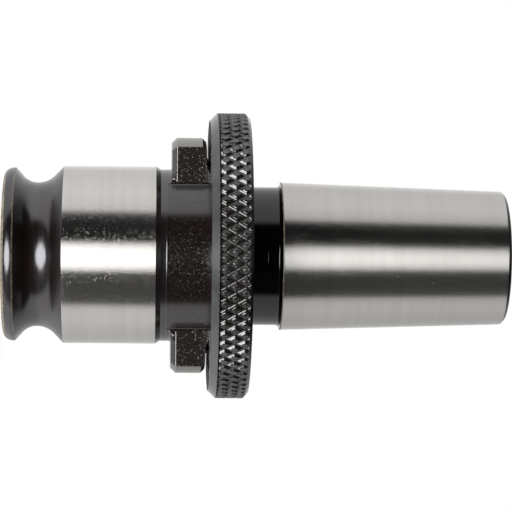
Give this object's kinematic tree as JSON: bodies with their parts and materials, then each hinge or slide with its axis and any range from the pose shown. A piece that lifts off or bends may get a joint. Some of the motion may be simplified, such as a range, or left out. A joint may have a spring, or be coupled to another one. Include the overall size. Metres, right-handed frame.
{
  "type": "drill chuck adapter",
  "caption": "Solid steel adapter with a grooved quick-change shank, driving lugs and a knurled flange at one end and a short taper for a drill chuck at the other.",
  "frame": {"origin": "centre of the flat face at the shank's end, on the turning axis", "axes": "+Z along the turning axis, from the quick-change shank to the tip of the chuck taper; the two driving lugs lie along +X and -X"},
  "size_m": [0.0306, 0.0306, 0.0536],
  "materials": {
    "tool_steel": "ground bright on the shank and taper, black oxide elsewhere"
  },
  "bodies": {
    "root": {"adapter_body": "tool_steel"}
  },
  "joints": []
}
